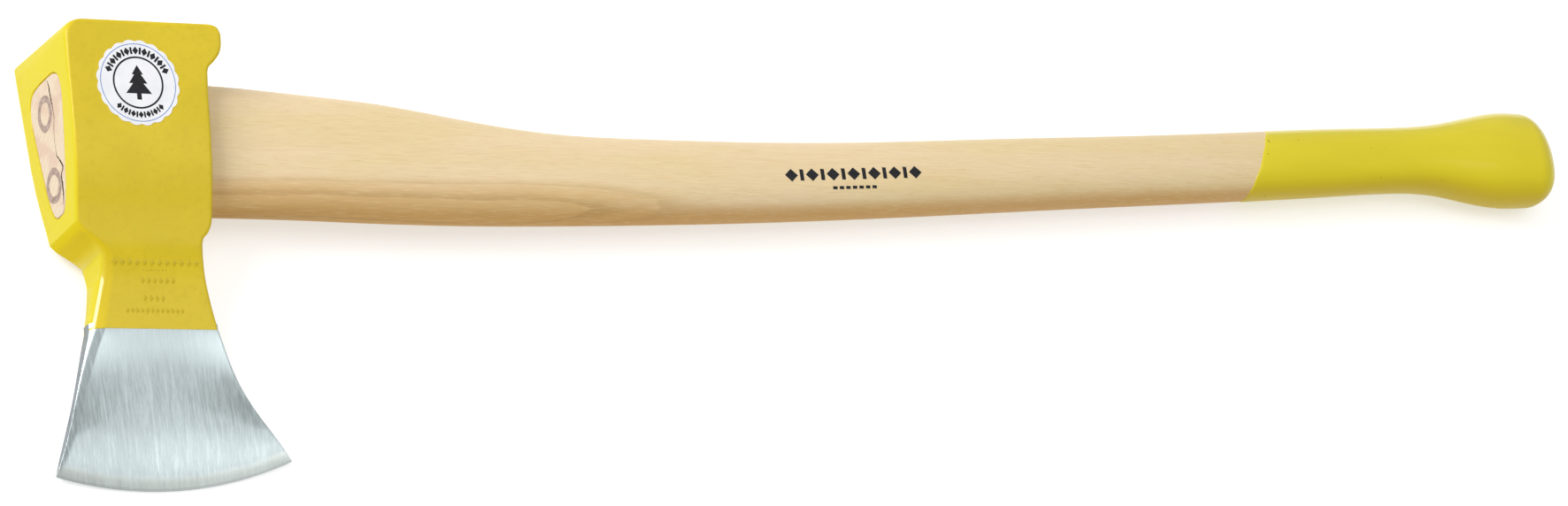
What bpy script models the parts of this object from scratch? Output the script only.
"""Splitting axe: forged head, curved wooden handle, ring wedges, dipped grip and a round label.

The axe's own axes, used by every builder below, in millimetres: X runs along the handle from
the head's outer end face, Y points from the blade to the poll, and Z is the thickness, zero on
the mid-plane.  Every piece hangs from the empty lay_down, which lays the axe on the floor at
Z = 0, where it rests on the lower cheek, the cutting edge and the knob.
"""

import math

import bmesh
import bpy
import numpy as np
from mathutils import Matrix, Vector

MM = 0.001
GAP = 0.3  # clearance between pieces that touch

# the lying posture
ROLL = math.radians(8.961)  # about X: the poll end rises until the cutting edge is down
PITCH = math.radians(0.831)  # about Y: the knob comes down

# head
POLL_Y = 55.0  # the flat striking face
POLL_ROUND = 3.0  # radius of the poll's edges
EDGE_ROUND = 2.6  # radius of the head's upright edges
CHEEK_HALF = 27.5  # half thickness where the flat cheeks end, at Y = 0
CHEEK_SLOPE = 0.09  # how fast the flat cheeks open towards the poll
REST_SLOPE = 0.161  # the facet below them, on which the head lies
REST_END_Y = -12.5
FAN_Y = -91.5  # where the neck ends and the fan of the blade begins
TOE = (-18.9, -163.1)  # X and Y of the cutting edge's ends
HEEL = (102.1, -154.9)
EDGE_BULGE = 10.5  # how far the cutting edge bows out past the line from toe to heel
BLADE_ROUND = 1.7  # radius of the blade's sides
HOLLOW = 1.4  # depth of the hollows towards the blade's sides
HOLLOW_END = 0.8  # the share of the blade's height over which the hollows run

# the head's two sides above the fan, as (Y, X)
OUTER_SIDE = [
    (-42.6, 0.0),
    (-45.8, 2.5),
    (-49.4, 6.9),
    (-53.0, 10.6),
    (-57.2, 12.8),
    (-63.4, 12.7),
    (-77.0, 9.8),
    (FAN_Y, 5.6),
]
HANDLE_SIDE = [
    (POLL_Y, 73.8),
    (54.4, 77.0),
    (52.5, 79.7),
    (48.9, 80.9),
    (44.7, 80.7),
    (40.6, 79.5),
    (36.4, 76.3),
    (33.3, 73.2),
    (30.2, 72.2),
    (0.0, 70.9),
    (-37.4, 70.1),
    (-41.6, 69.6),
    (-45.6, 67.9),
    (-48.7, 65.3),
    (-52.0, 64.6),
    (-62.4, 65.4),
    (-77.0, 67.9),
    (FAN_Y, 70.9),
]
# half thickness of the neck, as (Y, Z)
NECK_HALF = [
    (REST_END_Y, 25.5),
    (-25.0, 22.2),
    (-35.4, 19.1),
    (-43.7, 17.0),
    (-52.0, 15.0),
    (-60.3, 12.3),
    (-68.6, 9.9),
    (-79.0, 7.9),
    (FAN_Y, 6.4),
]
# the fan, from its top (0) to the cutting edge (1): X and Y of its sides, and half thickness
TOE_X = [(0.0, 5.6), (0.35, -2.1), (0.7, -10.4), (1.0, TOE[0])]
TOE_Y = [(0.0, FAN_Y), (0.35, -116.5), (0.7, -141.4), (1.0, TOE[1])]
HEEL_X = [(0.0, 70.9), (0.35, 78.4), (0.7, 90.1), (1.0, HEEL[0])]
HEEL_Y = [(0.0, FAN_Y), (0.35, -115.4), (0.7, -137.8), (1.0, HEEL[1])]
FAN_HALF = [(0.0, 6.4), (0.2, 5.8), (0.45, 5.3), (0.65, 4.7), (0.8, 3.6), (0.92, 2.0), (1.0, 0.25)]
FAN_LEVELS = [0.0, 0.1, 0.2, 0.3, 0.4, 0.5, 0.6, 0.7, 0.78, 0.86, 0.93, 1.0]

# eye and tenon: a superellipse that is wider towards the poll
EYE_Y = 0.6
EYE_HALF_HEIGHT = 34.2  # at the outer end face
EYE_HALF_WIDTH = 16.4
EYE_NARROWING = 0.0005  # share lost per millimetre towards the handle, so that wedging holds
EYE_TAPER = 0.32
EYE_POWER = 3.0
MOUTH_HALF_WIDTH = 15.4  # the eye's outline at the outer end face is squarer and more tapered
MOUTH_TAPER = 0.42
MOUTH_POWER = 4.0

# handle outside the head: outlines on the poll side and on the blade side as (X, Y), and half
# width as (X, Z)
SHOULDER_X = 75.0
HANDLE_TOP = [
    (SHOULDER_X, 32.8),
    (87.0, 32.8),
    (134.0, 30.8),
    (172.0, 28.3),
    (218.0, 21.6),
    (267.0, 16.0),
    (316.0, 15.0),
    (419.0, 16.6),
    (526.0, 22.4),
    (639.0, 28.8),
    (754.0, 36.3),
    (784.0, 37.8),
    (811.0, 40.6),
    (839.0, 46.3),
    (858.0, 48.9),
    (868.0, 48.8),
]
HANDLE_BOTTOM = [
    (SHOULDER_X, -31.4),
    (125.0, -31.1),
    (166.0, -31.8),
    (210.0, -31.9),
    (259.0, -30.7),
    (360.0, -26.7),
    (464.0, -20.5),
    (573.0, -12.7),
    (686.0, -5.0),
    (746.0, -0.3),
    (781.0, 2.3),
    (808.0, 2.0),
    (830.0, -1.5),
    (852.0, -4.0),
    (868.0, -3.5),
]
HANDLE_HALF = [
    (SHOULDER_X, 16.6),
    (135.0, 16.5),
    (260.0, 16.0),
    (468.0, 15.2),
    (676.0, 14.1),
    (785.0, 14.1),
    (827.0, 16.6),
    (853.0, 18.0),
    (868.0, 17.4),
]
HANDLE_POWER = 2.3
EGG_FADES = 110.0  # length over which the eye's egg shape turns into the handle's oval
KNOB_X = 868.0  # where the knob starts to round over
KNOB_END = 886.0
KNOB_DROOP = 4.0  # how far the knob's end sits below its middle, towards the blade side
KNOB_POWER = 2.2  # how square its end rounds over
KNOB_TIP_HEIGHT = 0.1  # shares of its height and width that are left flat at the tip
KNOB_TIP_WIDTH = 0.05
KNOB_LEVELS = 9
KNOB_STEPS = [0.24, 0.44, 0.62, 0.77, 0.88, 0.955, 1.0]  # levels of the rounded end
TENON_END = 72.9  # the tenon's last level before the shoulder
COMB_END_X = 340.0  # levels stand closer where the handle narrows behind the head
COMB_LEVELS = 19
GRIP_START_X = 365.0
GRIP_END_X = 765.0
GRIP_LEVELS = 17
ROUND_POINTS = 28  # points round the handle
EYE_POINTS = 40
EYE_PAST = 8.0  # how far the eye's cutter stands out of the end face
EYE_THROUGH = 90.0

# lacquer on the grip
COAT = 0.5
COAT_START = 688.7  # middle of its edge, which is a slanting line round the handle
COAT_SLANT = 10.3
COAT_TURN = math.radians(15)  # the edge reaches furthest back this far past the poll side
COAT_LEVELS = 6
COAT_BODY_X = 790.0  # beyond this the rings stand square

# ring wedges
WEDGE_OUTER = 8.7
WEDGE_INNER = 5.3
WEDGE_TIP_INNER = 7.4
WEDGE_DEPTH = 25.0
WEDGE_Z = -2.5  # they sit a little off the mid-plane
UPPER_WEDGE_Y = 19.1
LOWER_WEDGE_Y = -17.3
WEDGE_POINTS = 24

# label
LABEL_X = 35.0
LABEL_Y = 23.4
LABEL_RADIUS = 21.2
LABEL_THICKNESS = 0.35
SCALLOPS = 20
SCALLOP_DEPTH = 0.9
POINTS_PER_SCALLOP = 5


def clear_scene():
    for thing in list(bpy.data.objects):
        bpy.data.objects.remove(thing, do_unlink=True)


def spline(knots, at):
    """Value at a position of the natural cubic curve through (position, value) knots."""
    x = np.array([knot[0] for knot in knots])
    y = np.array([knot[1] for knot in knots])
    step = np.diff(x)
    rate = np.diff(y) / step
    count = len(x)
    system = np.eye(count)
    right = np.zeros(count)
    for i in range(1, count - 1):
        system[i, i - 1] = step[i - 1]
        system[i, i] = 2 * (step[i - 1] + step[i])
        system[i, i + 1] = step[i]
        right[i] = 3 * (rate[i] - rate[i - 1])
    bend = np.linalg.solve(system, right)
    i = int(np.clip(np.searchsorted(x, at) - 1, 0, count - 2))
    d = at - x[i]
    slope = rate[i] - step[i] * (2 * bend[i] + bend[i + 1]) / 3
    cube = (bend[i + 1] - bend[i]) / (3 * step[i])
    return float(y[i] + d * (slope + d * (bend[i] + d * cube)))


def steady(knots, at):
    """Value at a position of the curve through the knots that never overshoots them."""
    knots = sorted(knots)
    x = np.array([knot[0] for knot in knots])
    y = np.array([knot[1] for knot in knots])
    if at <= x[0]:
        return float(y[0])
    if at >= x[-1]:
        return float(y[-1])
    step = np.diff(x)
    rate = np.diff(y) / step
    slope = np.zeros(len(x))
    slope[0] = rate[0]
    slope[-1] = rate[-1]
    for i in range(1, len(x) - 1):
        if rate[i - 1] * rate[i] > 0:
            slope[i] = 2 * rate[i - 1] * rate[i] / (rate[i - 1] + rate[i])
    i = int(np.searchsorted(x, at) - 1)
    t = (at - x[i]) / step[i]
    value = y[i] * (1 + 2 * t) * (1 - t) ** 2 + y[i + 1] * t * t * (3 - 2 * t)
    return float(value + step[i] * t * (1 - t) * (slope[i] * (1 - t) - slope[i + 1] * t))


def new_material(name, colour, roughness, metallic):
    material = bpy.data.materials.new(name)
    material.use_nodes = True
    shader = material.node_tree.nodes["Principled BSDF"]
    shader.inputs["Base Color"].default_value = (*colour, 1.0)
    shader.inputs["Roughness"].default_value = roughness
    shader.inputs["Metallic"].default_value = metallic
    return material


def new_object(name, mesh, parent):
    thing = bpy.data.objects.new(name, mesh)
    bpy.context.scene.collection.objects.link(thing)
    thing.parent = parent
    return thing


def finish(thing, material):
    """Give a piece its material and smooth shading with its true edges kept sharp."""
    thing.data.materials.append(material)
    thing.data.shade_smooth()
    thing.data.set_sharp_from_angle(angle=math.radians(35))


def loft(name, rings, ends="closed"):
    """Mesh through rings of equally many points in millimetres.

    Its ends are capped, or, for a tube, the last ring is joined back to the first.
    """
    shape = bmesh.new()
    rows = [[shape.verts.new(Vector(point) * MM) for point in ring] for ring in rings]
    pairs = list(zip(rows, rows[1:]))
    if ends == "joined":
        pairs.append((rows[-1], rows[0]))
    for one, two in pairs:
        for i in range(len(one)):
            j = (i + 1) % len(one)
            shape.faces.new((one[i], one[j], two[j], two[i]))
    if ends == "closed":
        shape.faces.new(rows[0])
        shape.faces.new(rows[-1])
    bmesh.ops.recalc_face_normals(shape, faces=shape.faces)
    mesh = bpy.data.meshes.new(name)
    shape.to_mesh(mesh)
    shape.free()
    return mesh


def cut(target, cutter):
    """Take a cutter, which is then hidden, out of the target."""
    modifier = target.modifiers.new(cutter.name, "BOOLEAN")
    modifier.operation = "DIFFERENCE"
    modifier.solver = "EXACT"
    modifier.object = cutter
    cutter.hide_render = True
    cutter.display_type = "WIRE"


# --- head ---------------------------------------------------------------------------------


def rounding(y):
    """How far the poll's rounded edge stands in at a height."""
    over = max(0.0, y - (POLL_Y - POLL_ROUND))
    return POLL_ROUND - math.sqrt(POLL_ROUND**2 - over**2)


def half_thickness(y):
    """Half thickness of the head above the fan."""
    if y >= 0:
        return CHEEK_HALF + CHEEK_SLOPE * y - rounding(y)
    if y >= REST_END_Y:
        return CHEEK_HALF + REST_SLOPE * y
    return steady(NECK_HALF, y)


def corner_arc(middle, radius, start):
    """Five points of a quarter circle that turns clockwise from the start angle."""
    angles = [start - math.pi * i / 8 for i in range(5)]
    return [(middle[0] + radius * math.cos(a), middle[1] + radius * math.sin(a)) for a in angles]


def head_ring(left, right, bulge, half, corner, hollow):
    """One level of the head: a rounded bar from the left point to the right one, bowed down."""
    width = right[0] - left[0]
    corner = min(corner, 0.8 * half)
    upper = corner_arc((corner, half - corner), corner, math.pi)
    upper += [(corner + (width - 2 * corner) * i / 12, half) for i in range(1, 12)]
    upper += corner_arc((width - corner, half - corner), corner, math.pi / 2)
    lower = [(along, -z) for along, z in reversed(upper)]
    ring = []
    for along, z in upper + lower:
        u = along / width
        x = left[0] + width * u
        y = left[1] + (right[1] - left[1]) * u - bulge * 4 * u * (1 - u)
        thinning = 1 - hollow * abs(2 * u - 1) ** 3 / half
        ring.append((x, y, z * thinning))
    return ring


def block_rings():
    """Levels from the poll's face to the top of the fan."""
    levels = [POLL_Y, 54.6, 53.6, 52.0, 48.9, 44.7, 40.6, 36.4, 33.3, 30.2, 0.0, REST_END_Y]
    levels += [-21.0, -29.0, -37.4, -42.6, -45.8, -49.4, -53.0, -57.2, -63.4, -70.0, -79.0]
    rings = []
    for y in levels:
        outer = rounding(y) if y > OUTER_SIDE[0][0] else steady(OUTER_SIDE, y)
        left = (outer, y)
        right = (steady(HANDLE_SIDE, y), y)
        rings.append(head_ring(left, right, 0.0, half_thickness(y), EDGE_ROUND, 0.0))
    return rings


def fan_rings():
    """Levels of the blade, from straight across the neck to the curved cutting edge."""
    rings = []
    for t in FAN_LEVELS:
        left = (spline(TOE_X, t), spline(TOE_Y, t))
        right = (spline(HEEL_X, t), spline(HEEL_Y, t))
        hollow = HOLLOW * math.sin(math.pi * min(1.0, t / HOLLOW_END)) ** 2
        half = steady(FAN_HALF, t)
        rings.append(head_ring(left, right, EDGE_BULGE * t**1.5, half, BLADE_ROUND, hollow))
    return rings


def oval_point(x, angle, middle, height, width, taper, power):
    """Point at an angle of a superellipse across the X axis, wider towards the poll."""
    c = math.cos(angle)
    s = math.sin(angle)
    v = math.copysign(abs(c) ** (2 / power), c)
    w = math.copysign(abs(s) ** (2 / power), s)
    return (x, middle + height * v, width * (1 + taper * v) * w)


def turn_angles(count):
    return [2 * math.pi * i / count for i in range(count)]


def eye_ring(x, inset, count):
    """The eye's outline at a depth, drawn in by the inset."""
    inner = min(max(x / SHOULDER_X, 0.0), 1.0)
    narrowing = 1 - EYE_NARROWING * x
    height = EYE_HALF_HEIGHT * narrowing - inset
    width = MOUTH_HALF_WIDTH + (EYE_HALF_WIDTH - MOUTH_HALF_WIDTH) * inner
    width = width * narrowing - inset
    taper = MOUTH_TAPER + (EYE_TAPER - MOUTH_TAPER) * inner
    power = MOUTH_POWER + (EYE_POWER - MOUTH_POWER) * inner
    return [
        oval_point(x, angle, EYE_Y, height, width, taper, power) for angle in turn_angles(count)
    ]


def build_head(parent):
    head = new_object("axe_head", loft("axe_head", block_rings() + fan_rings()), parent)
    finish(head, new_material("head_paint", (0.70, 0.55, 0.045), 0.35, 0.0))
    through = [eye_ring(x, 0.0, EYE_POINTS) for x in (-EYE_PAST, 0.0, SHOULDER_X, EYE_THROUGH)]
    cut(head, new_object("eye_cutter", loft("eye_cutter", through), parent))


# --- handle and its lacquer ---------------------------------------------------------------


def handle_point(x, angle, skin):
    """Point of the handle outside the head; skin is how far it lies over the wood."""
    at = min(x, KNOB_X)
    top = spline(HANDLE_TOP, at)
    bottom = spline(HANDLE_BOTTOM, at)
    width = spline(HANDLE_HALF, at)
    middle = (top + bottom) / 2
    height = (top - bottom) / 2
    turn = max(0.0, (x - KNOB_X) / (KNOB_END - KNOB_X))
    left = (1 - turn**KNOB_POWER) ** 0.5
    middle -= KNOB_DROOP * (1 - left)
    height *= KNOB_TIP_HEIGHT + (1 - KNOB_TIP_HEIGHT) * left
    width *= KNOB_TIP_WIDTH + (1 - KNOB_TIP_WIDTH) * left
    fade = max(0.0, 1 - (x - SHOULDER_X) / EGG_FADES)
    power = HANDLE_POWER + (EYE_POWER - HANDLE_POWER) * fade
    taper = EYE_TAPER * fade**2
    forward = skin * turn**4
    return oval_point(x + forward, angle, middle, height + skin, width + skin, taper, power)


def knob_stations():
    """Places along the knob, closer together as it rounds over."""
    body = list(np.linspace(COAT_BODY_X, KNOB_X, KNOB_LEVELS))
    return body + [KNOB_X + (KNOB_END - KNOB_X) * step for step in KNOB_STEPS]


def build_handle(parent):
    angles = turn_angles(ROUND_POINTS)
    rings = [eye_ring(x, GAP, ROUND_POINTS) for x in (0.0, TENON_END)]
    stations = list(np.linspace(SHOULDER_X, COMB_END_X, COMB_LEVELS))
    stations += list(np.linspace(GRIP_START_X, GRIP_END_X, GRIP_LEVELS))
    for x in stations + knob_stations():
        rings.append([handle_point(x, angle, 0.0) for angle in angles])
    handle = new_object("handle", loft("handle", rings), parent)
    finish(handle, new_material("ash_wood", (0.78, 0.60, 0.36), 0.45, 0.0))
    for name, y in (("upper_groove_cutter", UPPER_WEDGE_Y), ("lower_groove_cutter", LOWER_WEDGE_Y)):
        cut(handle, new_object(name, wedge_mesh(name, y, -2.0, GAP), parent))


def coat_start(angle):
    """X of the lacquer's edge, which slants from the poll side to the blade side."""
    return COAT_START + COAT_SLANT * math.cos(angle + COAT_TURN)


def coat_rings(skin):
    angles = turn_angles(ROUND_POINTS)
    rings = []
    for share in np.linspace(0.0, 1.0, COAT_LEVELS)[:-1]:
        slant = [coat_start(angle) * (1 - share) + COAT_BODY_X * share for angle in angles]
        rings.append([handle_point(x, angle, skin) for x, angle in zip(slant, angles)])
    for x in knob_stations():
        rings.append([handle_point(x, angle, skin) for angle in angles])
    return rings


def build_coat(parent):
    """A skin over grip and knob: its outside, then back along its inside."""
    outside = coat_rings(GAP + COAT)
    inside = coat_rings(GAP)
    mesh = loft("grip_coating", outside[::-1] + inside)
    coat = new_object("grip_coating", mesh, parent)
    finish(coat, new_material("grip_lacquer", (0.70, 0.58, 0.04), 0.25, 0.0))


# --- ring wedges --------------------------------------------------------------------------


def wedge_mesh(name, y, start, extra):
    """Tube whose wall thins to its tip; extra grows it all round, for the groove it sits in."""
    outer = WEDGE_OUTER + extra
    tip = WEDGE_DEPTH + extra
    corners = [(start, outer), (tip, outer), (tip, WEDGE_TIP_INNER - extra)]
    corners += [(start, WEDGE_INNER - extra)]
    angles = turn_angles(WEDGE_POINTS)
    rings = [
        [(x, y + radius * math.cos(a), WEDGE_Z + radius * math.sin(a)) for a in angles]
        for x, radius in corners
    ]
    return loft(name, rings, ends="joined")


def build_wedges(parent):
    steel = new_material("bare_steel", (0.36, 0.28, 0.24), 0.45, 0.6)
    for name, y in (("ring_wedge_upper", UPPER_WEDGE_Y), ("ring_wedge_lower", LOWER_WEDGE_Y)):
        finish(new_object(name, wedge_mesh(name, y, 0.0, 0.0), parent), steel)


# --- label --------------------------------------------------------------------------------


def build_label(parent):
    """A scalloped disc that lies on the flat part of the upper cheek."""
    tilt = math.atan(CHEEK_SLOPE)
    surface = CHEEK_HALF + CHEEK_SLOPE * LABEL_Y
    rings = []
    for height in (GAP, GAP + LABEL_THICKNESS):
        ring = []
        for angle in turn_angles(SCALLOPS * POINTS_PER_SCALLOP):
            dip = SCALLOP_DEPTH * (1 - abs(math.sin(angle * SCALLOPS / 2)))
            radius = LABEL_RADIUS - dip
            across = radius * math.sin(angle)
            y = LABEL_Y + across * math.cos(tilt) - height * math.sin(tilt)
            z = surface + across * math.sin(tilt) + height * math.cos(tilt)
            ring.append((LABEL_X + radius * math.cos(angle), y, z))
        rings.append(ring)
    label = new_object("head_label", loft("head_label", rings), parent)
    finish(label, new_material("label_foil", (0.86, 0.86, 0.85), 0.4, 0.0))


def lay_on_floor(lay_down):
    """Turn the axe onto its side and set the middle of its box's bottom on the origin."""
    turn = Matrix.Rotation(PITCH, 4, "Y") @ Matrix.Rotation(ROLL, 4, "X")
    points = [turn @ v.co for piece in lay_down.children if not piece.hide_render
              for v in piece.data.vertices]
    low = Vector(min(point[k] for point in points) for k in range(3))
    high = Vector(max(point[k] for point in points) for k in range(3))
    middle = (low + high) / 2
    middle.z = low.z
    lay_down.matrix_world = Matrix.Translation(-middle) @ turn
    bpy.context.view_layer.update()


def main():
    clear_scene()
    lay_down = new_object("lay_down", None, None)
    build_head(lay_down)
    build_handle(lay_down)
    build_coat(lay_down)
    build_wedges(lay_down)
    build_label(lay_down)
    lay_on_floor(lay_down)


main()
